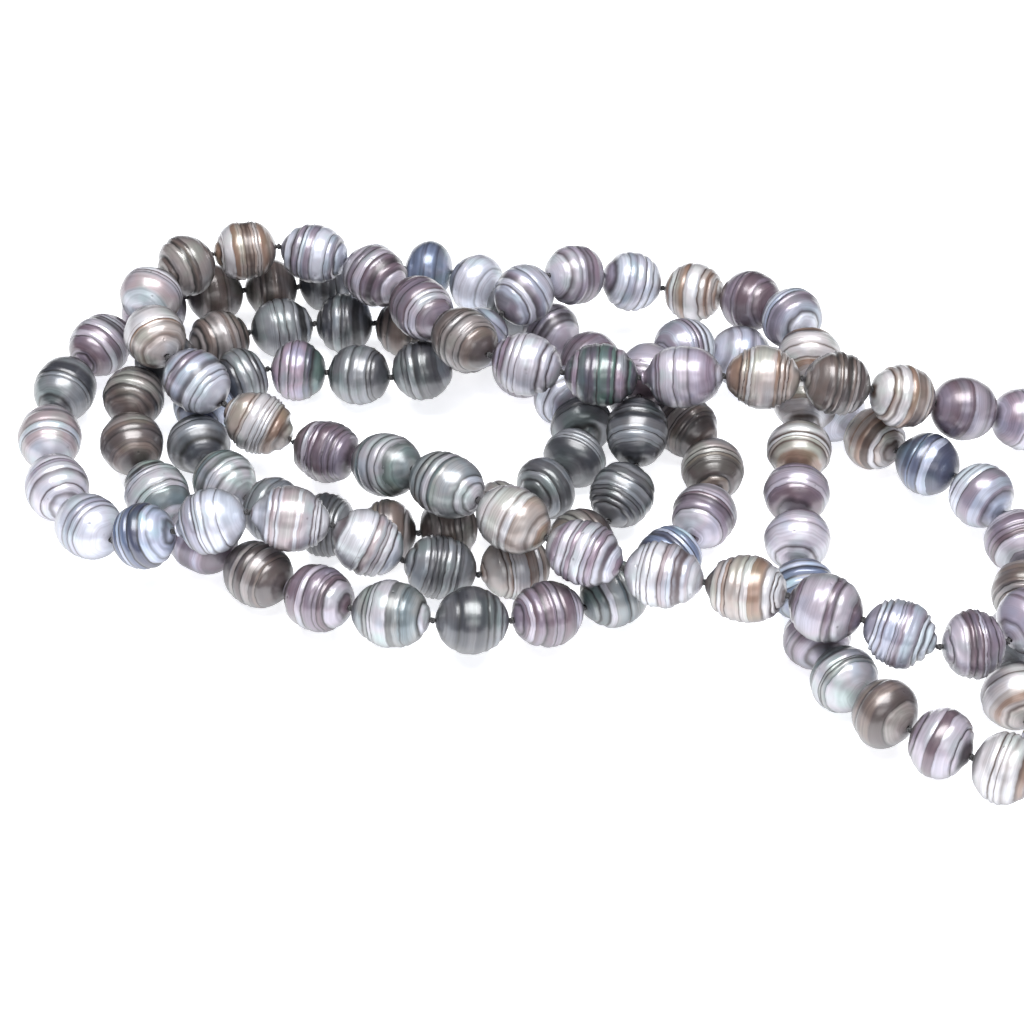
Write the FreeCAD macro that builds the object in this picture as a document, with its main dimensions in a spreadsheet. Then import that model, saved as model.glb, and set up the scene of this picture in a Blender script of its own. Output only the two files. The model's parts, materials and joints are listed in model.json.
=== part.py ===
import FreeCAD, Part
import os
from FreeCAD import Placement, Rotation, Vector

# A long endless rope of drilled pearls on knotted silk, laid down in flat nested turns with
# one loop across the top. Millimetres, +Z up, the floor at Z = 0, and the origin on the floor
# under the middle of the rope's outline.

doc = FreeCAD.newDocument("pearl_rope")
sheet = doc.addObject("Spreadsheet::Sheet", "sizes")

SIZES = [
    ("button_width", 10.4),     # across a button pearl, the flattest kind
    ("round_width", 10.2),
    ("oval_width", 10.1),
    ("long_width", 10.0),
    ("button_length", 8.8),     # along the drilled hole
    ("round_length", 9.8),
    ("oval_length", 10.8),
    ("long_length", 12.0),
    ("silk_diameter", 0.65),
    ("bore_clearance", 0.075),  # between the silk and the drilled hole, on the radius
    ("knot_diameter", 1.1),
    ("knot_play", 0.05),        # between a knot and the pearl on each side of it
    ("pivot_gap", 0.1),         # between a knot and the silk that swings about it
]
for row, (alias, value) in enumerate(SIZES, start=1):
    sheet.set(f"A{row}", alias)
    sheet.set(f"B{row}", str(value))
    sheet.setAlias(f"B{row}", alias)
doc.recompute()
size = {alias: float(sheet.get(alias)) for alias, _ in SIZES}

KINDS = {"b": "button", "r": "round", "o": "oval", "l": "long"}
KNOT_GAP = size["knot_diameter"] + 2 * size["knot_play"]

# The strands in the order they are strung. Each has its name, its pearls by the first letter of
# their kind, and the points that its silk passes through. The last strand runs on to the first.
STRANDS = [
    ("top_back", "rrrroloo", [
        (87, 13, 7.5), (66.5, 9, 15), (42, 7.5, 21.5),
        (21, 11, 18.5),
    ]),
    ("top_left", "oooorbbroool", [
        (-3.5, 16, 19), (-18.5, 36.5, 16.5), (-39.5, 48, 17),
        (-60, 35, 17.5), (-49, 13, 14.5), (-29.5, 5.5, 7.5),
    ]),
    ("top_front", "loooorrbb", [
        (-15, -7, 15), (14, -27.5, 14.5), (45, -38, 16),
        (70, -43.5, 14),
    ]),
    ("inner_turn", "rrrrrrr", [
        (78, -36.5, 15.5), (99.5, -47.5, 10.5), (86, -61.5, 5.5),
    ]),
    ("outer_right", "rrrrrbbb", [
        (71.5, -40, 5.5), (76.5, -28, 5.5), (74, -4.5, 7.5),
        (59, 9, 6.5),
    ]),
    ("outer_centre", "rrrorr", [
        (43, 29.5, 6), (22.5, 21.5, 14.5), (19, -1, 8),
    ]),
    ("outer_front", "ooolor", [
        (6, -16.5, 5), (-14, -20.5, 7.5), (-34, -17.5, 16),
    ]),
    ("outer_left", "rrrrrr", [
        (-60.5, -16, 8.5), (-73.5, 4.5, 6.5), (-71.5, 29, 7),
    ]),
    ("outer_back", "rbbbbbbbr", [
        (-56, 47, 7), (-34.5, 52.5, 5.5), (-13.5, 57.5, 5.5),
        (-1.5, 49, 5.5),
    ]),
    ("middle_centre", "rorrrr", [
        (16.5, 28, 5), (32, 8.5, 5.5), (27.5, -12.5, 5.5),
    ]),
    ("middle_front", "rrorroo", [
        (10.5, -27.5, 5.5), (-13, -33, 8.5), (-36, -22, 5.5),
    ]),
    ("middle_back", "rrrrrbrrr", [
        (-59, 3, 6.5), (-61.5, 22.5, 8), (-46.5, 38.5, 5.5),
        (-18.5, 41, 5.5),
    ]),
    ("inner_centre", "bbbbb", [
        (6, 26.5, 5), (12, 14.5, 5.5),
    ]),
    ("inner_front", "bbbb", [
        (-5, -8.5, 5.5), (-19.5, -11, 5.5),
    ]),
    ("inner_left", "rbbbbrr", [
        (-41.5, -3, 5.5), (-51.5, 13, 5.5), (-46, 27.5, 5.5),
    ]),
    ("inner_back", "rrrrrrb", [
        (-9.5, 26, 9.5), (3.5, 38, 17), (26.5, 46, 9.5),
    ]),
    ("inner_right", "bbbbbbb", [
        (48, 26, 16), (46, 9, 10.5), (44, -6, 9),
    ]),
    ("inner_tail", "bbbb", [
        (46, -38, 5), (56, -54, 7.5),
    ]),
    ("outer_turn", "rrrrrrrrrrrr", [
        (72.5, -64, 8), (93, -70.5, 10), (110, -56.5, 5.5),
        (116, -33.5, 5.5), (117, -13, 6), (107.5, 8, 5),
    ]),
]
# The strands of the loop that lies on top, whose pearls are each a piece of their own.
LOOSE_STRANDS = ("top_back", "top_left", "top_front")
# The folds: each is a run of pearls in one strand, first and last, that lifts about the line
# through the knots at its two ends. A fold inside another is carried by it.
FOLDS = {
    "top_fold_1": ("top_left", 2, 12),
    "top_fold_2": ("top_left", 4, 10),
    "top_fold_3": ("top_left", 6, 9),
    "left_fold": ("outer_left", 2, 5),
    "back_fold": ("inner_back", 3, 6),
    "outer_turn_fold_1": ("outer_turn", 4, 10),
    "outer_turn_fold_2": ("outer_turn", 6, 8),
}

# The points were set out for pearls up to this width, so the lay grows with the widest kind.
LAID_FOR_WIDTH = 10.4
lay_scale = max(size[kind + "_width"] for kind in KINDS.values()) / LAID_FOR_WIDTH
FINE_STEP = 0.25    # spacing of the samples that measure along the route


def route_samples():
    """The smooth closed route as closely spaced points, and the sample at each strand's start."""
    points = [Vector(*xyz) * lay_scale for _, _, strand in STRANDS for xyz in strand]
    curve = Part.BSplineCurve()
    curve.interpolate(Points=points, PeriodicFlag=True)
    count = int(curve.length() / FINE_STEP)
    first, last = curve.FirstParameter, curve.LastParameter
    samples = [curve.value(first + (last - first) * i / count) for i in range(count + 1)]
    starts = []
    passed = 0
    for _, _, strand in STRANDS:
        share = (curve.parameter(points[passed]) - first) / (last - first)
        starts.append(round(share * count))
        passed += len(strand)
    return samples, starts + [count]


def knot_points():
    """Where each pearl's knot sits: the strand's length is shared out by the kinds of pearl."""
    samples, starts = route_samples()
    knots = []
    for number, (_, letters, _) in enumerate(STRANDS):
        part = samples[starts[number]:starts[number + 1] + 1]
        along = [0.0]
        for before, after in zip(part, part[1:]):
            along.append(along[-1] + before.distanceToPoint(after))
        pitches = [size[KINDS[letter] + "_length"] + KNOT_GAP for letter in letters]
        sample = 0
        for index in range(len(letters)):
            target = along[-1] * sum(pitches[:index]) / sum(pitches)
            while along[sample + 1] < target:
                sample += 1
            share = (target - along[sample]) / (along[sample + 1] - along[sample])
            knots.append(part[sample] + (part[sample + 1] - part[sample]) * share)
    return knots


def pearl_list():
    """Every pearl in order: strand, number in it, fold, width alias, and the knots at its ends."""
    knots = knot_points()
    pearls = []
    for strand, letters, _ in STRANDS:
        for number, letter in enumerate(letters, start=1):
            index = len(pearls)
            fold = None
            for name, (fold_strand, first, last) in FOLDS.items():
                if fold_strand == strand and first <= number <= last:
                    fold = name
            pearls.append({
                "strand": strand, "number": number, "body": fold or "rope",
                "width": KINDS[letter] + "_width",
                "start": knots[index], "end": knots[(index + 1) % len(knots)],
            })
    return pearls


def reach(pearl, axis):
    """How far a pearl reaches each way from its middle along a row axis."""
    along = pearl["end"] - pearl["start"]
    half_length = (along.Length - KNOT_GAP) / 2
    half_width = size[pearl["width"]] / 2
    share = along.normalize()[axis]
    return (half_width**2 + (half_length**2 - half_width**2) * share**2) ** 0.5


pearls = pearl_list()
# The rope is moved so that its outline is centred over the origin and its lowest pearl rests
# on the floor.
lows = []
highs = []
for axis in range(3):
    middles = [(pearl["start"][axis] + pearl["end"][axis]) / 2 for pearl in pearls]
    lows.append(min(m - reach(p, axis) for m, p in zip(middles, pearls)))
    highs.append(max(m + reach(p, axis) for m, p in zip(middles, pearls)))
shift = Vector(-(lows[0] + highs[0]) / 2, -(lows[1] + highs[1]) / 2, -lows[2])
for pearl in pearls:
    pearl["start"] = pearl["start"] + shift
    pearl["end"] = pearl["end"] + shift


def placed_along(point, pearl):
    """A placement at a point, with its Z axis along a pearl's hole."""
    return Placement(point, Rotation(Vector(0, 0, 1), pearl["end"] - pearl["start"]))


def add_pearl(pearl, name):
    """One pearl: an ellipsoid round its hole, drilled through from knot to knot."""
    pitch = (pearl["end"] - pearl["start"]).Length
    nacre = doc.addObject("Part::Ellipsoid", name + "_nacre")
    nacre.setExpression("Radius1", f"({pitch:.5f} - sizes.knot_diameter - 2 * sizes.knot_play) / 2")
    nacre.setExpression("Radius2", f"sizes.{pearl['width']} / 2")
    nacre.setExpression("Radius3", f"sizes.{pearl['width']} / 2")
    nacre.setExpression("Placement.Base.z", f"{pitch:.5f} / 2")
    drill = doc.addObject("Part::Cylinder", name + "_drill")
    drill.setExpression("Radius", "sizes.silk_diameter / 2 + sizes.bore_clearance")
    drill.setExpression("Height", f"{pitch:.5f}")
    drilled = doc.addObject("Part::Cut", name)
    drilled.Base = nacre
    drilled.Tool = drill
    drilled.Placement = placed_along(pearl["start"], pearl)
    drilled.Label = name
    return drilled


def carries(outer, inner):
    """Whether the fold or rope called outer holds the one called inner."""
    if outer == inner or inner == "rope":
        return False
    if outer == "rope":
        return True
    outer_strand, outer_first, outer_last = FOLDS[outer]
    inner_strand, inner_first, inner_last = FOLDS[inner]
    return outer_strand == inner_strand and outer_first <= inner_first and inner_last <= outer_last


def add_knot(pearl, end, name):
    """The knot at a pearl's "start" or "end": a ball with its pole on the silk.

    A quarter turn about the silk keeps the ball's seam clear of the silk's own.
    """
    knot = doc.addObject("Part::Sphere", name)
    knot.setExpression("Radius", "sizes.knot_diameter / 2")
    quarter_turn = Placement(Vector(), Rotation(Vector(0, 0, 1), 90))
    knot.Placement = placed_along(pearl[end], pearl) * quarter_turn
    return knot


def add_silk(body):
    """The silk of one body: a straight length through each pearl, and the knots between them.

    The knots that a fold swings about belong to the silk outside it, so a fold's silk stops
    short of them.
    """
    name = f"{body}_silk"
    clear_of_knot = "(sizes.knot_diameter / 2 + sizes.pivot_gap)"
    pieces = []
    for index, pearl in enumerate(pearls):
        if pearl["body"] != body:
            continue
        before = pearls[index - 1]["body"]
        after = pearls[(index + 1) % len(pearls)]["body"]
        free_start = int(carries(before, body))
        free_end = int(carries(after, body))
        pitch = (pearl["end"] - pearl["start"]).Length
        run = doc.addObject("Part::Cylinder", f"{name}_run_{index + 1}")
        run.setExpression("Radius", "sizes.silk_diameter / 2")
        run.setExpression("Height", f"{pitch:.5f} - {free_start + free_end} * {clear_of_knot}")
        run.Placement = placed_along(pearl["start"], pearl)
        if free_start:
            clear = size["knot_diameter"] / 2 + size["pivot_gap"]
            run.Placement = run.Placement * Placement(Vector(0, 0, clear), Rotation())
        pieces.append(run)
        if not free_end:
            pieces.append(add_knot(pearl, "end", f"{name}_knot_{index + 1}"))
        if before != body and not free_start:
            pieces.append(add_knot(pearl, "start", f"{name}_first_knot_{index + 1}"))
    silk = doc.addObject("Part::MultiFuse", name)
    silk.Shapes = pieces
    silk.Label = name
    return silk


nodes = []
groups = {}
for pearl in pearls:
    drilled = add_pearl(pearl, f"{pearl['strand']}_pearl_{pearl['number']}")
    if pearl["strand"] in LOOSE_STRANDS:
        nodes.append(drilled)
    else:
        owner = pearl["strand"] if pearl["body"] == "rope" else pearl["body"]
        groups.setdefault(f"{owner}_pearls", []).append(drilled)
for name, members in groups.items():
    group = doc.addObject("Part::Compound", name)
    group.Links = members
    group.Label = name
    nodes.append(group)
for body in ["rope", *FOLDS]:
    nodes.append(add_silk(body))
doc.recompute()

for item in doc.Objects:
    if {"Invalid", "Error"} & set(item.State):
        raise RuntimeError(f"{item.Label} did not build: {item.State}")
for node in nodes:
    if node.Shape.isNull() or not node.Shape.isValid():
        raise RuntimeError(f"{node.Label} has no valid shape")

os.makedirs("parts", exist_ok=True)
for node in nodes:
    node.Shape.exportStep(os.path.join("parts", node.Label + ".step"))
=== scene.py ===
import json
import math

import bmesh
import bpy
import numpy as np
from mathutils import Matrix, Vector

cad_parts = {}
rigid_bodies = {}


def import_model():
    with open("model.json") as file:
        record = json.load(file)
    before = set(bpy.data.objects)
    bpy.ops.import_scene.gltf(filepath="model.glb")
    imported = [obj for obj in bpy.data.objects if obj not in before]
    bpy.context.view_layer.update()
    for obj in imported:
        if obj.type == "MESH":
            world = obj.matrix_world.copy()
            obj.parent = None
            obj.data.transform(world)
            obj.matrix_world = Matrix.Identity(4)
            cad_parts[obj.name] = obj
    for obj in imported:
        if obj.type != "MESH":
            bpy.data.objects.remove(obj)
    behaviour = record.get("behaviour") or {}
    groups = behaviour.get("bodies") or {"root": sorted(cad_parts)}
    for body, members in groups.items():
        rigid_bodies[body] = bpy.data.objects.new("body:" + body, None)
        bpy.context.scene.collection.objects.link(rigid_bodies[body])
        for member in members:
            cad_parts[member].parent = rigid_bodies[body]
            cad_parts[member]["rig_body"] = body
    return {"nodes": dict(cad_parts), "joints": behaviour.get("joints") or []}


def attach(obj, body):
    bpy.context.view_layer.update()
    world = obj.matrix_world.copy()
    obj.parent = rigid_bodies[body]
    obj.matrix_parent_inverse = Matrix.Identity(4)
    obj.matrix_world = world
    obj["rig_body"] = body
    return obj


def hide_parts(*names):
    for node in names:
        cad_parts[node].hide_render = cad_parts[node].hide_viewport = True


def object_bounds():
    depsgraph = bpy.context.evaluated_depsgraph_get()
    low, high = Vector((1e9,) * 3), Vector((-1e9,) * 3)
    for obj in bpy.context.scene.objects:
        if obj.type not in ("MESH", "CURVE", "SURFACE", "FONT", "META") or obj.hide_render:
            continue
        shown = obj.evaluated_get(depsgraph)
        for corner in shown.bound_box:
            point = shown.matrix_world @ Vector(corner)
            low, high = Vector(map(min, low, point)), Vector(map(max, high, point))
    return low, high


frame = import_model()
cad_box = [list(corner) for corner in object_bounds()]


# ---- Camera -------------------------------------------------------------------------------
# The rope lies on a table and is seen from its long front side, from a good arm's length away.
# Its right-hand end, where the strands turn back, runs out of the view.

VIEW_OFFSET = Vector((-0.0215, 0.0064, 0.0))   # looked-at point, from under the rope's middle
VIEW_DISTANCE = 0.397
VIEW_ELEVATION = math.radians(42)
VIEW_LENS_MM = 87.9
SENSOR_MM = 36.0

low, high = (Vector(corner) for corner in cad_box)
rope_middle = Vector(((low.x + high.x) / 2, (low.y + high.y) / 2, low.z))
camera_data = bpy.data.cameras.new("camera")
camera_data.lens = VIEW_LENS_MM
camera_data.sensor_width = SENSOR_MM
camera = bpy.data.objects.new("camera", camera_data)
camera.location = rope_middle + VIEW_OFFSET + VIEW_DISTANCE * Vector(
    (0, -math.cos(VIEW_ELEVATION), math.sin(VIEW_ELEVATION))
)
camera.rotation_euler = (math.pi / 2 - VIEW_ELEVATION, 0, 0)
bpy.context.scene.collection.objects.link(camera)
bpy.context.scene.camera = camera


# ---- Nacre --------------------------------------------------------------------------------
# Each pearl is nacre grown round a bead inside a black-lipped oyster, and it turned as it grew,
# which left rings round it. Grooves, bands of colour and pits all follow those rings.

def fill(tree, socket, value):
    """Links a socket to another, or sets its value."""
    if isinstance(value, bpy.types.NodeSocket):
        tree.links.new(value, socket)
    else:
        socket.default_value = value


def pick(sockets, key):
    """A node's socket by its number, or by its name among those in use."""
    if isinstance(key, int):
        return sockets[key]
    return next(socket for socket in sockets if socket.name == key and socket.enabled)


def put(tree, kind, inputs=(), output=0, **settings):
    """Adds a node, fills its inputs and returns one of its outputs."""
    node = tree.nodes.new(kind)
    for name, value in settings.items():
        setattr(node, name, value)
    pairs = inputs.items() if isinstance(inputs, dict) else enumerate(inputs)
    for key, value in pairs:
        fill(tree, pick(node.inputs, key), value)
    return pick(node.outputs, output)


def calc(tree, operation, *values):
    return put(tree, "ShaderNodeMath", values, operation=operation)


def ease(tree, value, start, end):
    """0 below start, 1 above end, and smooth between them."""
    inputs = {"Value": value, "From Min": start, "From Max": end}
    return put(tree, "ShaderNodeMapRange", inputs, interpolation_type="SMOOTHSTEP")


def blend_colours(tree, share, first, second, blend_type="MIX"):
    node = tree.nodes.new("ShaderNodeMix")
    node.data_type = "RGBA"
    node.blend_type = blend_type
    for name, value in (("Factor", share), ("A", first), ("B", second)):
        fill(tree, pick(node.inputs, name), value)
    return pick(node.outputs, "Result")


def noise_1d(tree, along, scale, detail=1.0):
    inputs = {"W": along, "Scale": scale, "Detail": detail}
    return put(tree, "ShaderNodeTexNoise", inputs, noise_dimensions="1D")


def noise_3d(tree, vector, scale, detail=1.0):
    inputs = {"Vector": vector, "Scale": scale, "Detail": detail}
    return put(tree, "ShaderNodeTexNoise", inputs, noise_dimensions="3D")


def new_group(name, kind, inputs, outputs):
    """A node group with its named inputs and outputs, and its two end nodes."""
    group = bpy.data.node_groups.new(name, kind)
    for label, socket_type, default in inputs:
        socket = group.interface.new_socket(name=label, in_out="INPUT", socket_type=socket_type)
        if default is not None:
            socket.default_value = default
    for label, socket_type in outputs:
        group.interface.new_socket(name=label, in_out="OUTPUT", socket_type=socket_type)
    given = group.nodes.new("NodeGroupInput").outputs
    result = group.nodes.new("NodeGroupOutput").inputs
    return group, given, result


RING_SEED_STRIDE = 13.0     # keeps the rings of two pearls from falling in step
RING_RANDOMNESS = 0.95


def growth_ring_group():
    """Where the grooves run, how each band between them differs, and the fine growth lines."""
    group, given, result = new_group(
        "growth_rings", "ShaderNodeTree",
        [("Ring", "NodeSocketFloat", 0.0), ("Pitch", "NodeSocketFloat", 1.0),
         ("Seed", "NodeSocketFloat", 0.0), ("Groove Width", "NodeSocketFloat", 0.2)],
        [("Band", "NodeSocketFloat"), ("Groove", "NodeSocketFloat"),
         ("Broad", "NodeSocketFloat"), ("Lines", "NodeSocketFloat")],
    )
    seeded = calc(group, "MULTIPLY", given["Seed"], RING_SEED_STRIDE)
    place = calc(group, "ADD", calc(group, "DIVIDE", given["Ring"], given["Pitch"]), seeded)
    cell = {"W": place, "Scale": 1.0, "Randomness": RING_RANDOMNESS}
    cell_colour = put(group, "ShaderNodeTexVoronoi", cell, "Color", voronoi_dimensions="1D")
    band = put(group, "ShaderNodeSeparateColor", [cell_colour])
    edge = put(group, "ShaderNodeTexVoronoi", cell, "Distance", voronoi_dimensions="1D",
               feature="DISTANCE_TO_EDGE")
    groove = calc(group, "SUBTRACT", 1.0, ease(group, edge, 0.0, given["Groove Width"]))
    shifted = calc(group, "ADD", given["Ring"], seeded)
    group.links.new(band, result["Band"])
    group.links.new(groove, result["Groove"])
    group.links.new(noise_1d(group, shifted, 0.45, 1.0), result["Broad"])
    group.links.new(noise_1d(group, shifted, 4.5, 5.0), result["Lines"])
    return group


def pit_group():
    """Small pinholes and soft dimples, 1 where the surface dips."""
    group, given, result = new_group(
        "nacre_pits", "ShaderNodeTree",
        [("Vector", "NodeSocketVector", None), ("Amount", "NodeSocketFloat", 0.5)],
        [("Pit", "NodeSocketFloat"), ("Uneven", "NodeSocketFloat")],
    )
    cells = {"Vector": given["Vector"], "Scale": 520.0, "Randomness": 1.0}
    distance = put(group, "ShaderNodeTexVoronoi", cells, "Distance")
    rare = noise_3d(group, given["Vector"], 260.0, 1.0)
    hole = calc(group, "SUBTRACT", 1.0, ease(group, distance, 0.03, 0.16))
    pit = calc(group, "MULTIPLY", hole, ease(group, rare, 0.56, 0.66))
    group.links.new(calc(group, "MULTIPLY", pit, given["Amount"]), result["Pit"])
    group.links.new(noise_3d(group, given["Vector"], 900.0, 3.0), result["Uneven"])
    return group


NACRE_ROUGHNESS = 0.30
NACRE_METALLIC = 0.22       # the share of light that the stacked nacre sends straight back
LUSTRE_COAT = 0.32
LUSTRE_COAT_ROUGHNESS = 0.12
NACRE_IOR = 1.85
PAINTED_RIM_SHADE = 0.76       # painted shade at the rims: how much the colour is darkened where the nacre is seen edge on
GROOVE_ROUGHNESS = 0.16     # added in the grooves
UNEVEN_ROUGHNESS = 0.06
PIT_AMOUNT = 0.8
PIT_SHADE = 0.6
PIT_DEPTH = 0.00012
LINE_DEPTH = 0.00002
RELIEF = 0.6
RING_WAVER_SCALE = 420.0
RING_WAVER = 0.16           # mm
BROAD_BANDS = (0.40, 0.60)  # noise between which the body colour turns into the bands' colour
NARROW_BANDS = (0.52, 0.62)
DARKEST_LINE = 0.42
LINE_CONTRAST = 1.1
LINE_SHARE = 0.7
OVERTONE_SCALE = 190.0
GREEN_OVERTONE = (0.46, 0.60, 0.54, 1)
ROSE_OVERTONE = (0.60, 0.48, 0.53, 1)
BLUE_OVERTONE = (0.47, 0.51, 0.64, 1)
PAINTED_RIM_SHADE_SPAN = (0.25, 0.95)         # painted rim shade: how far towards edge on it begins and ends


def nacre_material():
    """Ringed nacre: a body colour crossed by bands, dark grooves, an overtone and pits, with painted
    shade at the rims.
    """
    material = bpy.data.materials.new("ringed_nacre")
    material.use_nodes = True
    tree = material.node_tree
    tree.nodes.clear()

    def own(name, output="Fac"):
        return put(tree, "ShaderNodeAttribute", {}, output, attribute_name=name)

    place = put(tree, "ShaderNodeTexCoord", {}, "Object")
    waver = noise_3d(tree, place, RING_WAVER_SCALE, 2.0)
    waver = calc(tree, "MULTIPLY_ADD", waver, RING_WAVER, -RING_WAVER / 2)
    ring = calc(tree, "ADD", own("ring"), waver)
    rings = tree.nodes.new("ShaderNodeGroup")
    rings.node_tree = growth_ring_group()
    fill(tree, rings.inputs["Ring"], ring)
    fill(tree, rings.inputs["Pitch"], own("pitch"))
    fill(tree, rings.inputs["Seed"], own("seed"))
    pits = tree.nodes.new("ShaderNodeGroup")
    pits.node_tree = pit_group()
    fill(tree, pits.inputs["Vector"], place)
    pits.inputs["Amount"].default_value = PIT_AMOUNT

    broad = ease(tree, rings.outputs["Broad"], *BROAD_BANDS)
    colour = blend_colours(tree, broad, own("body_colour", "Color"), own("band_colour", "Color"))
    some_bands = ease(tree, rings.outputs["Band"], *NARROW_BANDS)
    ringed = calc(tree, "MULTIPLY", own("ringed"), own("ring_strength"))
    bands = calc(tree, "MULTIPLY", some_bands, own("ring_strength"))
    colour = blend_colours(tree, bands, colour, own("accent_colour", "Color"))
    lines = calc(tree, "MULTIPLY_ADD", rings.outputs["Lines"], LINE_CONTRAST, DARKEST_LINE)
    shade = put(tree, "ShaderNodeCombineColor", [lines, lines, lines])
    colour = blend_colours(tree, LINE_SHARE, colour, shade, "MULTIPLY")
    overtone_place = noise_3d(tree, place, OVERTONE_SCALE, 2.0)
    overtone = put(tree, "ShaderNodeValToRGB", [overtone_place])
    ramp = tree.nodes[-1].color_ramp
    ramp.elements[0].position = 0.34
    ramp.elements[0].color = GREEN_OVERTONE
    ramp.elements[1].position = 0.66
    ramp.elements[1].color = BLUE_OVERTONE
    ramp.elements.new(0.50).color = ROSE_OVERTONE
    colour = blend_colours(tree, own("overtone"), colour, overtone, "OVERLAY")
    groove = calc(tree, "MULTIPLY", rings.outputs["Groove"], ringed)
    colour = blend_colours(tree, groove, colour, own("groove_colour", "Color"))
    pitted = calc(tree, "MULTIPLY", pits.outputs["Pit"], PIT_SHADE)
    colour = blend_colours(tree, pitted, colour, own("groove_colour", "Color"))

    # Painted shade: the colour darkens towards each pearl's edge as the camera sees it, for dark rims.
    edge_on = put(tree, "ShaderNodeLayerWeight", {"Blend": 0.5}, "Facing")
    kept = calc(tree, "MULTIPLY_ADD", ease(tree, edge_on, *PAINTED_RIM_SHADE_SPAN), -PAINTED_RIM_SHADE, 1.0)
    rim_shade_colour = put(tree, "ShaderNodeCombineColor", [kept, kept, kept])
    colour = blend_colours(tree, 1.0, colour, rim_shade_colour, "MULTIPLY")

    rough = calc(tree, "MULTIPLY_ADD", groove, GROOVE_ROUGHNESS, NACRE_ROUGHNESS)
    rough = calc(tree, "MULTIPLY_ADD", pits.outputs["Uneven"], UNEVEN_ROUGHNESS, rough)
    lines_height = calc(tree, "MULTIPLY", rings.outputs["Lines"], LINE_DEPTH)
    height = calc(tree, "MULTIPLY_ADD", pits.outputs["Pit"], -PIT_DEPTH, lines_height)
    bump = put(tree, "ShaderNodeBump", {"Height": height, "Distance": 1.0, "Strength": RELIEF},
               "Normal")
    shader = put(tree, "ShaderNodeBsdfPrincipled", {
        "Base Color": colour, "Roughness": rough, "Metallic": NACRE_METALLIC,
        "IOR": NACRE_IOR, "Coat Weight": LUSTRE_COAT,
        "Coat Roughness": LUSTRE_COAT_ROUGHNESS, "Normal": bump,
    })
    output = tree.nodes.new("ShaderNodeOutputMaterial")
    tree.links.new(shader, output.inputs["Surface"])
    return material


nacre = nacre_material()


# ---- Pearls of the top loop ---------------------------------------------------------------
# The loop across the top has the largest and longest pearls, each drilled from end to end and
# free to turn on its silk. Every one is a ringed baroque bead, some with a pointed end.

BORE_RADIUS = 0.0004
MERGE_GAP = 1e-7
METRES_PER_MM = 0.001
AROUND = 40             # faces round a pearl
ALONG = 66              # faces from one mouth of its hole to the other
MOUTH_INSET = 0.00015   # how far inside the hole its worn lip ends
KNOT_GAP = 0.0012       # between one pearl's hole and the next
MOST_FULLNESS = 0.00045 # added to a straight stretch's pearls at each end
NO_FULLNESS_BEND = 40   # degrees between two pearls' holes
SHOULDER_FULLNESS = 1.2 # how strongly the pearl's shoulders swell with it

# The rings: where they run, how they bunch, and how they and the lumps are cut into a pearl.
RING_LEAN = 1.6         # mm, at most, between the two sides of a ring
LUMP_SCALE = 1.1
LUMP_LEVEL = 0.42
LUMP_DEPTH = 1.3        # mm
RIPPLE_SCALE = 2.6
RIPPLE = 0.5            # mm
BUNCH_SCALE = 0.35
BUNCHING = 3.2          # mm
GROOVE_REACH = 0.42     # of the way from one groove to the next
PATCH_SCALE = 0.28
PATCH_EDGES = (0.36, 0.56)
LEAST_RINGED = 0.2      # between the patches
FINE_SCALE = 2.3
FINE_DEPTH = 0.05       # mm
MOUTH_FADE = (0.1, 0.45)
NIPPLE_RISE = (0.62, 0.88)
NIPPLE_FALL = (0.93, 0.995)
SHOULDER_POWER = 0.95

# Colours of nacre: the body, broad bands, narrow bands and grooves.
SHADES = {
    "w": ((.490, .530, .590), (.385, .335, .350), (.620, .635, .680), (.085, .060, .068)),  # white silver
    "s": ((.378, .418, .506), (.254, .226, .277), (.583, .621, .706), (.040, .032, .043)),  # silver
    "c": ((.052, .057, .066), (.118, .125, .133), (.205, .225, .240), (.005, .005, .006)),  # charcoal
    "k": ((.088, .073, .070), (.175, .141, .123), (.270, .251, .240), (.011, .008, .007)),  # brown
    "g": ((.143, .183, .187), (.265, .294, .283), (.445, .471, .497), (.013, .014, .015)),  # green grey
    "t": ((.426, .397, .368), (.276, .190, .142), (.593, .592, .601), (.063, .036, .027)),  # tan
    "m": ((.217, .185, .231), (.138, .100, .120), (.445, .426, .485), (.028, .018, .026)),  # mauve
    "b": ((.158, .206, .300), (.065, .077, .120), (.430, .505, .618), (.013, .013, .022)),  # blue grey
    "p": ((.375, .355, .430), (.262, .212, .262), (.550, .555, .615), (.056, .037, .049)),  # pale lilac
    "x": ((.100, .096, .122), (.105, .172, .153), (.310, .274, .327), (.013, .008, .012)),  # peacock
}
# How strongly a pearl is ringed: the spacing of its grooves and their depth, both in mm, how
# much they show in its colour, and how lumpy it is.
RINGED = {
    "1": (2.6, 0.08, 0.60, 0.20),
    "2": (2.0, 0.17, 0.88, 0.30),
    "3": (1.5, 0.24, 1.00, 0.35),
    "4": (1.2, 0.32, 1.00, 0.45),
    "5": (1.0, 0.38, 0.95, 0.80),
}
OVERTONES = {"x": 0.65, "b": 0.45, "g": 0.45, "p": 0.35}
PLAIN_OVERTONE = 0.3
# Pointed ends: how much the far half narrows, and how far a nipple is pinched in.
ENDS = {"": (0.0, 0.0), "d": (0.16, 0.0), "n": (0.06, 0.42), "e": (0.0, 0.25)}


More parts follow.
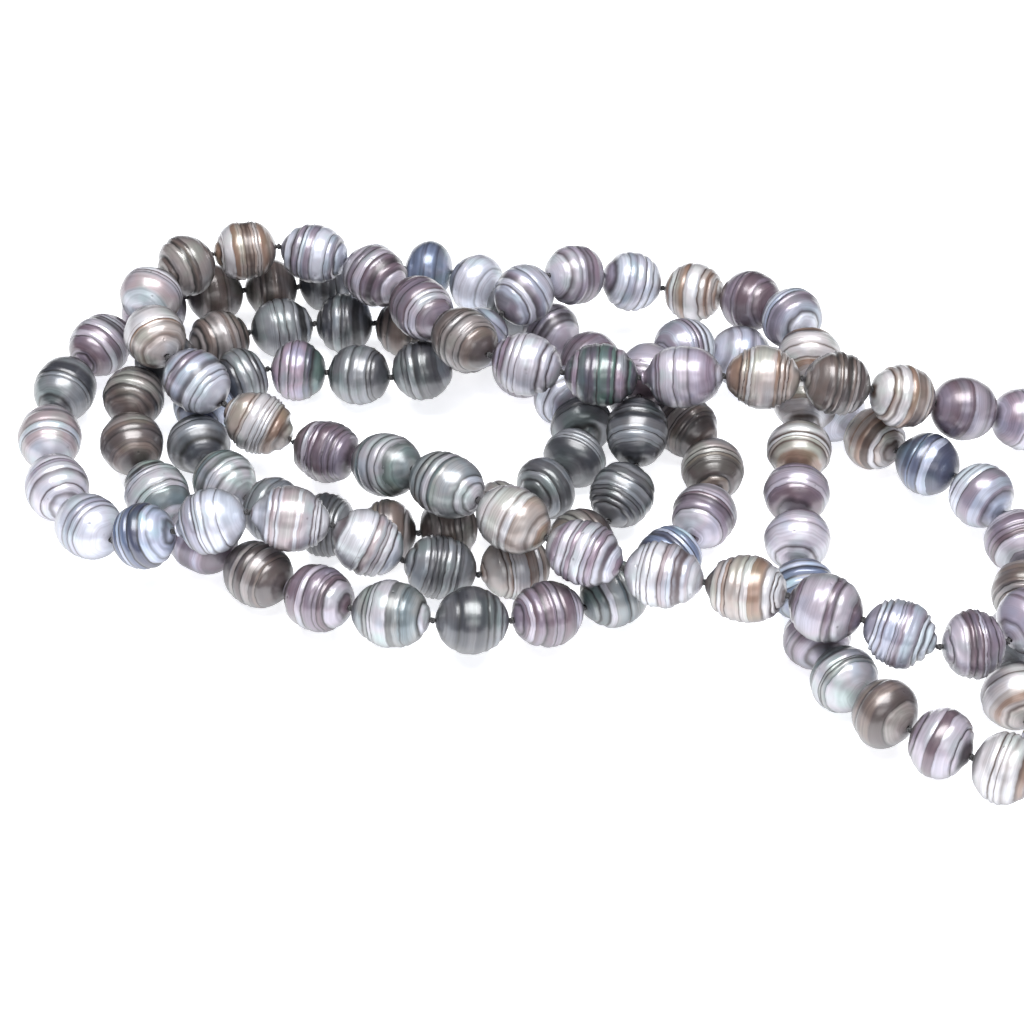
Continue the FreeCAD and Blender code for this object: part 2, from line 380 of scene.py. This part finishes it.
def read_pearls(node_name):
    """The drilled pearls of one CAD node, in stringing order.

    The walls of a hole are the only faces that look inwards, so their corners give its mouths.
    """
    work = bmesh.new()
    work.from_mesh(frame["nodes"][node_name].data)
    bmesh.ops.remove_doubles(work, verts=work.verts, dist=MERGE_GAP)
    work.verts.ensure_lookup_table()
    work.verts.index_update()
    unseen = set(range(len(work.verts)))
    pearls = []
    while unseen:
        island = set()
        edge = [min(unseen)]
        while edge:
            index = edge.pop()
            if index in island:
                continue
            island.add(index)
            edge.extend(link.other_vert(work.verts[index]).index
                        for link in work.verts[index].link_edges)
        unseen -= island
        corners = np.array([work.verts[index].co for index in sorted(island)])
        centre = (corners.min(0) + corners.max(0)) / 2
        mouth = set()
        for index in island:
            for face in work.verts[index].link_faces:
                if (face.calc_center_median() - Vector(centre)).dot(face.normal) < 0:
                    mouth.update(vertex.index for vertex in face.verts)
        rims = np.array([work.verts[index].co for index in sorted(mouth)]) - centre
        axis = np.linalg.svd(rims, full_matrices=False)[2][0]
        from_axis = corners - centre
        from_axis -= np.outer(from_axis @ axis, axis)
        half_width = np.linalg.norm(from_axis, axis=1).max()
        mouth_height = np.abs(rims @ axis).max()
        pearls.append({
            "centre": centre, "axis": axis, "half_width": half_width,
            "half_length": mouth_height / math.sqrt(1 - (BORE_RADIUS / half_width) ** 2),
        })
    work.free()
    for index, pearl in enumerate(pearls):
        if len(pearls) > 1:
            before = pearls[max(index - 1, 0)]["centre"]
            after = pearls[min(index + 1, len(pearls) - 1)]["centre"]
            onward = after - before
        else:
            onward = next(joint["axis"] for joint in frame["joints"]
                          if joint["child"] == node_name)
        if np.dot(pearl["axis"], onward) < 0:
            pearl["axis"] = -pearl["axis"]
    return pearls


PEARL_FLOATS = ("half_length", "half_width", "seed", "pitch", "ring_depth", "ring_strength",
                "lumps", "overtone", "taper", "nipple", "full_start", "full_end")
PEARL_COLOURS = ("body_colour", "band_colour", "accent_colour", "groove_colour")


def set_attribute(mesh, name, kind, rows):
    """Stores one value for each vertex."""
    attribute = mesh.attributes.new(name, kind, "POINT")
    field = {"FLOAT": "value", "FLOAT_VECTOR": "vector", "FLOAT_COLOR": "color"}[kind]
    attribute.data.foreach_set(field, np.array(rows, dtype=np.float32).ravel())


def baroque_pearl_tree():
    """Geometry Nodes: a ringed pearl on each point, from the sizes that the point carries."""
    tree, given, result = new_group(
        "baroque_pearls", "GeometryNodeTree",
        [("Geometry", "NodeSocketGeometry", None), ("Faces Around", "NodeSocketInt", AROUND),
         ("Faces Along", "NodeSocketInt", ALONG), ("Bore Radius", "NodeSocketFloat", BORE_RADIUS),
         ("Material", "NodeSocketMaterial", None)],
        [("Geometry", "NodeSocketGeometry")],
    )

    def stored(name, kind="FLOAT"):
        return put(tree, "GeometryNodeInputNamedAttribute", {"Name": name}, "Attribute",
                   data_type=kind)

    def store(geometry, name, value):
        inputs = {"Geometry": geometry, "Name": name, "Value": value}
        return put(tree, "GeometryNodeStoreNamedAttribute", inputs, data_type="FLOAT",
                   domain="POINT")

    # A sheet of faces: its width goes round the pearl, its height from mouth to mouth and back
    # through the hole in three more rows.
    columns = calc(tree, "ADD", given["Faces Around"], 1)
    rows = calc(tree, "ADD", given["Faces Along"], 4)
    grid = tree.nodes.new("GeometryNodeMeshGrid")
    fill(tree, grid.inputs["Vertices X"], columns)
    fill(tree, grid.inputs["Vertices Y"], rows)
    across = put(tree, "ShaderNodeSeparateXYZ", [grid.outputs["UV Map"]], "X")
    upward = put(tree, "ShaderNodeSeparateXYZ", [grid.outputs["UV Map"]], "Y")
    sheet = store(grid.outputs["Mesh"], "turn", calc(tree, "MULTIPLY", across, 2 * math.pi))
    last_row = calc(tree, "ADD", given["Faces Along"], 3)
    sheet = store(sheet, "row", calc(tree, "MULTIPLY", upward, last_row))
    placed = put(tree, "GeometryNodeInstanceOnPoints",
                 {"Points": given["Geometry"], "Instance": sheet})
    pearls = put(tree, "GeometryNodeRealizeInstances", {"Geometry": placed})

    half_width, half_length = stored("half_width"), stored("half_length")
    turn, row, seed = stored("turn"), stored("row"), stored("seed")
    mouth_angle = calc(tree, "ARCSINE", calc(tree, "DIVIDE", given["Bore Radius"], half_width))
    share = calc(tree, "MINIMUM", calc(tree, "DIVIDE", row, given["Faces Along"]), 1.0)
    sweep = calc(tree, "SUBTRACT", math.pi, calc(tree, "MULTIPLY", mouth_angle, 2.0))
    angle = calc(tree, "MULTIPLY_ADD", share, sweep, mouth_angle)
    out, up = calc(tree, "SINE", angle), calc(tree, "MULTIPLY", calc(tree, "COSINE", angle), -1.0)
    side_x, side_y = calc(tree, "COSINE", turn), calc(tree, "SINE", turn)
    facing = put(tree, "ShaderNodeCombineXYZ", [
        calc(tree, "MULTIPLY", side_x, out), calc(tree, "MULTIPLY", side_y, out), up])
    offset = put(tree, "ShaderNodeCombineXYZ", [
        calc(tree, "MULTIPLY", seed, 7.3), calc(tree, "MULTIPLY", seed, 3.1), seed])
    seeded = put(tree, "ShaderNodeVectorMath", [facing, offset], operation="ADD")
    lump = noise_3d(tree, seeded, LUMP_SCALE, 1.0)
    ripple = noise_3d(tree, seeded, RIPPLE_SCALE, 1.0)

    # Rings lie a little askew to the hole and waver as they go round.
    height_mm = calc(tree, "MULTIPLY", calc(tree, "MULTIPLY", up, half_length), 1000.0)
    lean = calc(tree, "MULTIPLY_ADD", noise_1d(tree, seed, 3.7), RING_LEAN, -RING_LEAN / 2)
    ring = calc(tree, "MULTIPLY_ADD", calc(tree, "MULTIPLY", side_x, out), lean, height_mm)
    ring = calc(tree, "MULTIPLY_ADD", calc(tree, "SUBTRACT", ripple, 0.5), RIPPLE, ring)
    bunched = noise_1d(tree, calc(tree, "MULTIPLY_ADD", seed, 11.0, ring), BUNCH_SCALE)
    ring = calc(tree, "MULTIPLY_ADD", bunched, BUNCHING, ring)
    pearls = store(pearls, "ring", ring)
    place = calc(tree, "ADD", calc(tree, "DIVIDE", ring, stored("pitch")),
                 calc(tree, "MULTIPLY", seed, RING_SEED_STRIDE))
    cell = {"W": place, "Scale": 1.0, "Randomness": RING_RANDOMNESS}
    edge = put(tree, "ShaderNodeTexVoronoi", cell, "Distance", voronoi_dimensions="1D",
               feature="DISTANCE_TO_EDGE")
    groove = calc(tree, "SUBTRACT", 1.0, ease(tree, edge, 0.0, GROOVE_REACH))
    patches = noise_1d(tree, calc(tree, "MULTIPLY_ADD", seed, 5.0, ring), PATCH_SCALE)
    patchy = ease(tree, patches, *PATCH_EDGES)
    ringed = calc(tree, "MULTIPLY_ADD", patchy, 1 - LEAST_RINGED, LEAST_RINGED)
    pearls = store(pearls, "ringed", ringed)
    groove = calc(tree, "MULTIPLY", groove, ringed)
    fine = noise_1d(tree, calc(tree, "MULTIPLY_ADD", seed, 9.0, ring), FINE_SCALE, 2.0)

    # Grooves and lumps are cut into the drilled ellipsoid, and fade out at the hole's mouths.
    sunk = calc(tree, "MULTIPLY", groove, stored("ring_depth"))
    sunk = calc(tree, "MULTIPLY_ADD", fine, FINE_DEPTH, sunk)
    lumpiness = calc(tree, "MULTIPLY", calc(tree, "SUBTRACT", lump, LUMP_LEVEL), stored("lumps"))
    sunk = calc(tree, "MULTIPLY_ADD", lumpiness, LUMP_DEPTH, sunk)
    fade = ease(tree, out, *MOUTH_FADE)
    sunk = calc(tree, "MULTIPLY", calc(tree, "MULTIPLY", sunk, fade), METRES_PER_MM)
    far = calc(tree, "MAXIMUM", up, 0.0)
    narrowed = calc(tree, "MULTIPLY", calc(tree, "MULTIPLY", far, far), stored("taper"))
    pinch = calc(tree, "MULTIPLY", ease(tree, up, *NIPPLE_RISE),
                 calc(tree, "SUBTRACT", 1.0, ease(tree, up, *NIPPLE_FALL)))
    narrowed = calc(tree, "MULTIPLY_ADD", pinch, stored("nipple"), narrowed)
    round_shouldered = calc(tree, "POWER", out, SHOULDER_POWER)
    radius = calc(tree, "MULTIPLY", half_width, round_shouldered)
    radius = calc(tree, "MULTIPLY", radius, calc(tree, "SUBTRACT", 1.0, narrowed))
    radius = calc(tree, "SUBTRACT", radius, calc(tree, "MULTIPLY", sunk, out))
    radius = calc(tree, "MAXIMUM", radius, given["Bore Radius"])
    height = calc(tree, "MULTIPLY", up, calc(tree, "SUBTRACT", half_length, sunk))
    upper = calc(tree, "GREATER_THAN", up, 0.0)
    fullness = put(tree, "ShaderNodeMix", {
        "Factor": upper, "A": stored("full_start"), "B": stored("full_end")}, "Result")
    steep = calc(tree, "POWER", up, 3.0)
    height = calc(tree, "MULTIPLY_ADD", steep, fullness, height)
    shoulder = calc(tree, "MULTIPLY", calc(tree, "POWER", up, 2.0), calc(tree, "POWER", out, 2.0))
    shoulder = calc(tree, "MULTIPLY", shoulder, SHOULDER_FULLNESS)
    radius = calc(tree, "MULTIPLY_ADD", shoulder, fullness, radius)

    # The rows inside the hole: down from the top lip, along the hole and out at the bottom lip.
    in_hole = calc(tree, "SUBTRACT", row, given["Faces Along"])
    mouth_height = calc(tree, "MULTIPLY", half_length, calc(tree, "COSINE", mouth_angle))
    mouth_steep = calc(tree, "POWER", calc(tree, "COSINE", mouth_angle), 3.0)
    top_mouth = calc(tree, "MULTIPLY_ADD", stored("full_end"), mouth_steep, mouth_height)
    lowest = calc(tree, "MULTIPLY_ADD", stored("full_start"), mouth_steep, mouth_height)
    top_lip = calc(tree, "SUBTRACT", top_mouth, MOUTH_INSET)
    hole_height = calc(tree, "MULTIPLY", calc(tree, "SUBTRACT", lowest, MOUTH_INSET), -1.0)
    for after_row, value in ((1.5, top_lip), (0.5, height)):
        earlier = calc(tree, "LESS_THAN", in_hole, after_row)
        hole_height = put(tree, "ShaderNodeMix",
                          {"Factor": earlier, "A": hole_height, "B": value}, "Result")
    at_end = calc(tree, "GREATER_THAN", in_hole, 2.5)
    bottom = calc(tree, "MULTIPLY", lowest, -1.0)
    hole_height = put(tree, "ShaderNodeMix",
                      {"Factor": at_end, "A": hole_height, "B": bottom}, "Result")
    inside = calc(tree, "GREATER_THAN", in_hole, 0.5)
    radius = put(tree, "ShaderNodeMix",
                 {"Factor": inside, "A": radius, "B": given["Bore Radius"]}, "Result")
    local = put(tree, "ShaderNodeCombineXYZ", [
        calc(tree, "MULTIPLY", radius, side_x), calc(tree, "MULTIPLY", radius, side_y),
        hole_height])
    turned = put(tree, "FunctionNodeAlignRotationToVector",
                 {"Vector": stored("axis", "FLOAT_VECTOR")}, axis="Z")
    world = put(tree, "FunctionNodeRotateVector", {"Vector": local, "Rotation": turned})
    world = put(tree, "ShaderNodeVectorMath", [world, stored("centre", "FLOAT_VECTOR")],
                operation="ADD")
    pearls = put(tree, "GeometryNodeSetPosition", {"Geometry": pearls, "Position": world})
    pearls = put(tree, "GeometryNodeMergeByDistance",
                 {"Geometry": pearls, "Distance": MERGE_GAP * 10})
    pearls = put(tree, "GeometryNodeSetShadeSmooth", {"Geometry": pearls})
    for name in ("turn", "row", "centre", "axis", "half_width", "half_length"):
        pearls = put(tree, "GeometryNodeRemoveAttribute", {"Geometry": pearls, "Name": name})
    pearls = put(tree, "GeometryNodeSetMaterial",
                 {"Geometry": pearls, "Material": given["Material"]})
    tree.links.new(pearls, result["Geometry"])
    return tree


def grown(points, tree, inputs, name):
    """Runs a Geometry Nodes tree on a mesh of points, and keeps the result as a plain object."""
    carrier = bpy.data.objects.new(name + "_points", points)
    bpy.context.scene.collection.objects.link(carrier)
    modifier = carrier.modifiers.new("grow", "NODES")
    modifier.node_group = tree
    for item in tree.interface.items_tree:
        if item.item_type == "SOCKET" and item.in_out == "INPUT" and item.name in inputs:
            modifier[item.identifier] = inputs[item.name]
    bpy.context.view_layer.update()
    evaluated = carrier.evaluated_get(bpy.context.evaluated_depsgraph_get())
    mesh = bpy.data.meshes.new_from_object(evaluated)
    carrier.modifiers.clear()
    bpy.data.objects.remove(carrier)
    piece = bpy.data.objects.new(name, mesh)
    bpy.context.scene.collection.objects.link(piece)
    return piece


pearls_of = {name: read_pearls(name) for name in frame["nodes"] if "_pearl" in name}

# Each end of a pearl is filled out towards the knot, as far as the bend in the rope there lets
# it without touching the next pearl.
ends = [
    (pearl, sign, pearl["centre"] + sign * pearl["axis"] * (pearl["half_length"] + KNOT_GAP / 2))
    for pearls in pearls_of.values() for pearl in pearls for sign in (-1, 1)
]
knot_places = np.array([place for _, _, place in ends])
for pearl, sign, place in ends:
    apart = np.linalg.norm(knot_places - place, axis=1)
    others = [ends[index][0] for index in np.argsort(apart)[:2]]
    other = others[1] if others[0] is pearl else others[0]
    bend = math.degrees(math.acos(min(abs(np.dot(pearl["axis"], other["axis"])), 1.0)))
    fullness = MOST_FULLNESS * max(0.0, 1 - bend / NO_FULLNESS_BEND)
    pearl["full_start" if sign < 0 else "full_end"] = fullness

pearl_tree = baroque_pearl_tree()


def make_pearls(node_name, looks, first_seed):
    """The finished pearls of one CAD node, from a word of shade, rings and end for each."""
    pearls = pearls_of[node_name]
    for index, pearl in enumerate(pearls):
        look = looks[index % len(looks)]
        colours = SHADES[look[0]]
        pitch, depth, strength, lumps = RINGED[look[1]]
        taper, nipple = ENDS[look[2:]]
        pearl.update(
            seed=(first_seed + index) * 0.731, pitch=pitch, ring_depth=depth,
            ring_strength=strength, lumps=lumps, taper=taper, nipple=nipple,
            overtone=OVERTONES.get(look[0], PLAIN_OVERTONE),
        )
        pearl.update({name: (*colour, 1.0) for name, colour in zip(PEARL_COLOURS, colours)})
    points = bpy.data.meshes.new(node_name + "_points")
    points.from_pydata([tuple(pearl["centre"]) for pearl in pearls], [], [])
    for name in PEARL_FLOATS:
        set_attribute(points, name, "FLOAT", [pearl[name] for pearl in pearls])
    for name in ("centre", "axis"):
        set_attribute(points, name, "FLOAT_VECTOR", [pearl[name] for pearl in pearls])
    for name in PEARL_COLOURS:
        set_attribute(points, name, "FLOAT_COLOR", [pearl[name] for pearl in pearls])
    inputs = {"Faces Around": AROUND, "Faces Along": ALONG, "Bore Radius": BORE_RADIUS,
              "Material": nacre}
    piece = grown(points, pearl_tree, inputs, node_name + "_nacre")
    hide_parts(node_name)
    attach(piece, frame["nodes"][node_name]["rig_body"])
    return piece


TOP_LOOP = {
    "top_back": "p2 m1 t3 k4 t4 p2n x3 p3",
    "top_left": "k4 m3 m3 s4 t4 k3 w2 t3 s3 t5d m5 g2",
    "top_front": "g3 t2 p4 w4d t4 m2 s5d m5 p1",
}
seed = 1
for strand, looks in TOP_LOOP.items():
    for number, look in enumerate(looks.split(), start=1):
        make_pearls(f"{strand}_pearl_{number}", [look], seed)
        seed += 1


# ---- Pearls of the nested turns -----------------------------------------------------------
# Under the loop the same rope lies in three turns, one inside the other. The outer turn is
# silver and mauve, and the inner ones are darker.

NESTED_TURNS = {
    "inner_turn_pearls": "s2 m2 t3 s1 p2 s3 t2",
    "outer_right_pearls": "w2 k4 m4 s3 b2d t3 s2 m1",
    "outer_centre_pearls": "s1 s3 m2 c4 c4 k3",
    "outer_front_pearls": "t4 c4 w4 w4e s3n b3",
    "outer_left_pearls": "s2 p1",
    "left_fold_pearls": "p3 w2 c2 m3",
    "outer_back_pearls": "k1 k2 c2 s1 b1 s2 c1 m2 m1",
    "middle_centre_pearls": "c2 k4 k4 m3 b4 g3",
    "middle_front_pearls": "m4 c2 g3 m4 k3 p1 g4",
    "middle_back_pearls": "k2 k3 c2 k3 c3 c3 k2 k2 m2",
    "inner_centre_pearls": "s3 c4 c4 c3 k3",
    "inner_front_pearls": "k3 k3 c4 c3",
    "inner_left_pearls": "g2 c3 b3 c3 x3 c3 c3",
    "inner_back_pearls": "s2 s2 s3",
    "back_fold_pearls": "p2 s3 t3 m2",
    "inner_right_pearls": "t2 t2 t3 m3 p2 b3 p2",
    "inner_tail_pearls": "g4 k2d m3 t3",
    "outer_turn_pearls": "s2 t3 m2 p2 s3",
    "outer_turn_fold_1_pearls": "m3 s3 p2 s2",
    "outer_turn_fold_2_pearls": "s4 t3 m2",
}
for node_name, looks in NESTED_TURNS.items():
    make_pearls(node_name, looks.split(), seed)
    seed += len(pearls_of[node_name])


# ---- Silk and knots -----------------------------------------------------------------------
# The rope is strung on black two-ply silk, drawn through each pearl and tied in a knot after
# it. The knots keep the pearls from rubbing, and close the rope without a clasp.

KNOT_DIAMETER = 0.0011
PIVOT_GAP = 0.0001          # where a fold's silk stops short of the knot it swings about
PLY_RADIUS = 0.000165
PLY_OFFSET = 0.00015        # each ply's middle, from the middle of the silk
TWIST_PER_METRE = 3800.0    # radians
KNOT_PLY_RADIUS = 0.00017
KNOT_STEPS = 30
KNOT_PLY_FACES = 5
SILK_STEPS = 28
PLY_FACES = 6


def silk_material():
    """Black silk with the sheen and lie of its fibres."""
    material = bpy.data.materials.new("black_silk")
    material.use_nodes = True
    tree = material.node_tree
    tree.nodes.clear()
    place = put(tree, "ShaderNodeTexCoord", {}, "Object")
    fibres = noise_3d(tree, place, 5200.0, 3.0)
    dusty = noise_3d(tree, place, 800.0, 2.0)
    colour = put(tree, "ShaderNodeValToRGB", [fibres])
    ramp = tree.nodes[-1].color_ramp
    ramp.elements[0].position = 0.3
    ramp.elements[0].color = (0.008, 0.008, 0.010, 1)
    ramp.elements[1].position = 0.75
    ramp.elements[1].color = (0.055, 0.052, 0.055, 1)
    rough = calc(tree, "MULTIPLY_ADD", dusty, 0.25, 0.45)
    bump = put(tree, "ShaderNodeBump", {"Height": fibres, "Distance": 0.00004, "Strength": 0.8},
               "Normal")
    shader = put(tree, "ShaderNodeBsdfPrincipled", {
        "Base Color": colour, "Roughness": rough, "Sheen Weight": 0.35, "Normal": bump})
    output = tree.nodes.new("ShaderNodeOutputMaterial")
    tree.links.new(shader, output.inputs["Surface"])
    return material


def knotted_silk_tree():
    """Geometry Nodes: two-ply silk along each edge, and a tied knot on each marked point."""
    tree, given, result = new_group(
        "knotted_silk", "GeometryNodeTree",
        [("Geometry", "NodeSocketGeometry", None), ("Ply Radius", "NodeSocketFloat", PLY_RADIUS),
         ("Ply Offset", "NodeSocketFloat", PLY_OFFSET), ("Twist", "NodeSocketFloat", TWIST_PER_METRE),
         ("Knot Diameter", "NodeSocketFloat", KNOT_DIAMETER),
         ("Material", "NodeSocketMaterial", None)],
        [("Geometry", "NodeSocketGeometry")],
    )
    is_knot = put(tree, "GeometryNodeInputNamedAttribute", {"Name": "is_knot"}, "Attribute",
                  data_type="FLOAT")
    split = tree.nodes.new("GeometryNodeSeparateGeometry")
    split.domain = "POINT"
    fill(tree, split.inputs["Geometry"], given["Geometry"])
    fill(tree, split.inputs["Selection"], calc(tree, "GREATER_THAN", is_knot, 0.5))

    # Two plies, each a round thread that circles the middle of the silk as it goes.
    runs = put(tree, "GeometryNodeMeshToCurve", {"Mesh": split.outputs["Inverted"]})
    plies = []
    for half_turn in (0.0, math.pi):
        fine = put(tree, "GeometryNodeResampleCurve", {"Curve": runs, "Count": SILK_STEPS})
        passed = put(tree, "GeometryNodeSplineParameter", {}, "Length")
        turned = calc(tree, "MULTIPLY_ADD", passed, given["Twist"], half_turn)
        tangent = put(tree, "GeometryNodeInputTangent")
        upright = put(tree, "ShaderNodeVectorMath", [tangent, (0.0, 0.0, 1.0)],
                      operation="CROSS_PRODUCT")
        across = put(tree, "ShaderNodeVectorMath", [upright], operation="NORMALIZE")
        ring = put(tree, "ShaderNodeVectorRotate",
                   {"Vector": across, "Axis": tangent, "Angle": turned})
        scaled = put(tree, "ShaderNodeVectorMath", {"Vector": ring, "Scale": given["Ply Offset"]},
                     operation="SCALE")
        wound = put(tree, "GeometryNodeSetPosition", {"Geometry": fine, "Offset": scaled})
        section = put(tree, "GeometryNodeCurvePrimitiveCircle",
                      {"Resolution": PLY_FACES, "Radius": given["Ply Radius"]})
        plies.append(put(tree, "GeometryNodeCurveToMesh",
                         {"Curve": wound, "Profile Curve": section, "Fill Caps": True}))

    # The knot: one ply led three times through itself, drawn up into a bead.
    loop = put(tree, "GeometryNodeCurvePrimitiveCircle", {"Resolution": KNOT_STEPS, "Radius": 1.0})
    passed = calc(tree, "MULTIPLY", put(tree, "GeometryNodeInputIndex"), 2 * math.pi / KNOT_STEPS)
    thrice = calc(tree, "MULTIPLY", passed, 3.0)
    twice = calc(tree, "MULTIPLY", passed, 2.0)
    reach = calc(tree, "ADD", calc(tree, "COSINE", thrice), 2.0)
    knot_points = put(tree, "ShaderNodeCombineXYZ", [
        calc(tree, "MULTIPLY", reach, calc(tree, "COSINE", twice)),
        calc(tree, "MULTIPLY", reach, calc(tree, "SINE", twice)),
        calc(tree, "MULTIPLY", calc(tree, "SINE", thrice), 2.0)])
    drawn_up = calc(tree, "DIVIDE", calc(tree, "SUBTRACT", given["Knot Diameter"],
                                         2 * KNOT_PLY_RADIUS), 6.0)
    knot_points = put(tree, "ShaderNodeVectorMath", {"Vector": knot_points, "Scale": drawn_up},
                      operation="SCALE")
    loop = put(tree, "GeometryNodeSetPosition", {"Geometry": loop, "Position": knot_points})
    section = put(tree, "GeometryNodeCurvePrimitiveCircle",
                  {"Resolution": KNOT_PLY_FACES, "Radius": KNOT_PLY_RADIUS})
    knot = put(tree, "GeometryNodeCurveToMesh", {"Curve": loop, "Profile Curve": section})
    lie = put(tree, "GeometryNodeInputNamedAttribute", {"Name": "lie"}, "Attribute",
              data_type="FLOAT_VECTOR")
    turned = put(tree, "FunctionNodeAlignRotationToVector", {"Vector": lie}, axis="Z")
    knots = put(tree, "GeometryNodeInstanceOnPoints", {
        "Points": split.outputs["Selection"], "Instance": knot, "Rotation": turned})
    knots = put(tree, "GeometryNodeRealizeInstances", {"Geometry": knots})

    join = tree.nodes.new("GeometryNodeJoinGeometry")
    for part in (*plies, knots):
        tree.links.new(part, join.inputs[0])
    silk = put(tree, "GeometryNodeSetShadeSmooth", {"Geometry": join.outputs[0]})
    silk = put(tree, "GeometryNodeSetMaterial",
               {"Geometry": silk, "Material": given["Material"]})
    tree.links.new(silk, result["Geometry"])
    return tree


silk_nodes = [name for name in frame["nodes"] if name.endswith("_silk")]
silk_corners = {
    name: np.array([vertex.co for vertex in frame["nodes"][name].data.vertices])
    for name in silk_nodes
}
# Which silk runs through each pearl: that of its own body, or of the body it turns on.
spun_on = {joint["child"]: joint["parent"] for joint in frame["joints"]}
runs_of = {name: [] for name in silk_nodes}
for node_name, pearls in pearls_of.items():
    body = frame["nodes"][node_name]["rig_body"]
    if body + "_silk" not in runs_of:
        body = spun_on[body]
    runs_of[body + "_silk"].extend(pearls)
# A knot belongs to the silk whose solid comes nearest to its middle.
knots_of = {name: {} for name in silk_nodes}
for pearls in runs_of.values():
    for pearl in pearls:
        for sign in (-1, 1):
            middle = pearl["centre"] + sign * pearl["axis"] * (pearl["half_length"] + KNOT_GAP / 2)
            nearest = min(silk_nodes, key=lambda name: np.linalg.norm(
                silk_corners[name] - middle, axis=1).min())
            key = tuple(np.round(middle / (KNOT_GAP / 3)).astype(int))
            near = [other for other in knots_of[nearest]
                    if np.abs(np.subtract(other, key)).max() <= 1]
            key = near[0] if near else key
            knots_of[nearest].setdefault(key, (middle, pearl["axis"]))
            pearl["start_silk" if sign < 0 else "end_silk"] = nearest

silk = silk_material()
silk_tree = knotted_silk_tree()
for name in silk_nodes:
    corners, edges, is_knot, lie = [], [], [], []
    for pearl in runs_of[name]:
        for sign, end in ((-1, "start_silk"), (1, "end_silk")):
            reach = pearl["half_length"] + KNOT_GAP / 2
            if pearl[end] != name:
                reach -= KNOT_DIAMETER / 2 + PIVOT_GAP
            corners.append(tuple(pearl["centre"] + sign * pearl["axis"] * reach))
        edges.append((len(corners) - 2, len(corners) - 1))
        is_knot += [0.0, 0.0]
        lie += [tuple(pearl["axis"])] * 2
    for middle, axis in knots_of[name].values():
        corners.append(tuple(middle))
        is_knot.append(1.0)
        lie.append(tuple(axis))
    points = bpy.data.meshes.new(name + "_points")
    points.from_pydata(corners, edges, [])
    set_attribute(points, "is_knot", "FLOAT", is_knot)
    set_attribute(points, "lie", "FLOAT_VECTOR", lie)
    inputs = {"Ply Radius": PLY_RADIUS, "Ply Offset": PLY_OFFSET, "Twist": TWIST_PER_METRE,
              "Knot Diameter": KNOT_DIAMETER, "Material": silk}
    piece = grown(points, silk_tree, inputs, name + "_twisted")
    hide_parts(name)
    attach(piece, frame["nodes"][name]["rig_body"])


# ---- Table and light ----------------------------------------------------------------------
# A plain white table under a large soft light, as for a catalogue. Neither is part of the rope.

TABLE_SIZE = 3.0
TABLE_COLOUR = (0.93, 0.94, 0.96, 1)
TABLE_GLOW = 0.75
ROOM_COLOUR = (0.82, 0.84, 1.0, 1)
ROOM_STRENGTH = 0.07
SOFT_LIGHTS = [
    # name, watts, width, depth, place, turned about X
    ("overhead", 9.0, 0.7, 0.42, (0.0, -0.08, 0.7), 0),
    ("front", 2.0, 0.8, 0.35, (0.15, -0.8, 0.6), 52),
]

table_mesh = bpy.data.meshes.new("table")
half = TABLE_SIZE / 2
table_mesh.from_pydata(
    [(-half, -half, 0), (half, -half, 0), (half, half, 0), (-half, half, 0)], [], [(0, 1, 2, 3)]
)
table = bpy.data.objects.new("table", table_mesh)
bpy.context.scene.collection.objects.link(table)
table_material = bpy.data.materials.new("white_table")
table_material.use_nodes = True
table_shader = table_material.node_tree.nodes["Principled BSDF"]
table_shader.inputs["Base Color"].default_value = TABLE_COLOUR
table_shader.inputs["Roughness"].default_value = 0.9
table_shader.inputs["Emission Color"].default_value = TABLE_COLOUR
table_shader.inputs["Emission Strength"].default_value = TABLE_GLOW
table_mesh.materials.append(table_material)

for name, watts, width, depth, place, turned in SOFT_LIGHTS:
    light_data = bpy.data.lights.new(name, "AREA")
    light_data.shape = "RECTANGLE"
    light_data.size = width
    light_data.size_y = depth
    light_data.energy = watts
    light = bpy.data.objects.new(name, light_data)
    light.location = place
    light.rotation_euler = (math.radians(turned), 0, 0)
    bpy.context.scene.collection.objects.link(light)

room = bpy.data.worlds.new("room")
room.use_nodes = True
room.node_tree.nodes["Background"].inputs["Color"].default_value = ROOM_COLOUR
room.node_tree.nodes["Background"].inputs["Strength"].default_value = ROOM_STRENGTH
bpy.context.scene.world = room
bpy.context.scene.view_settings.view_transform = "Standard"
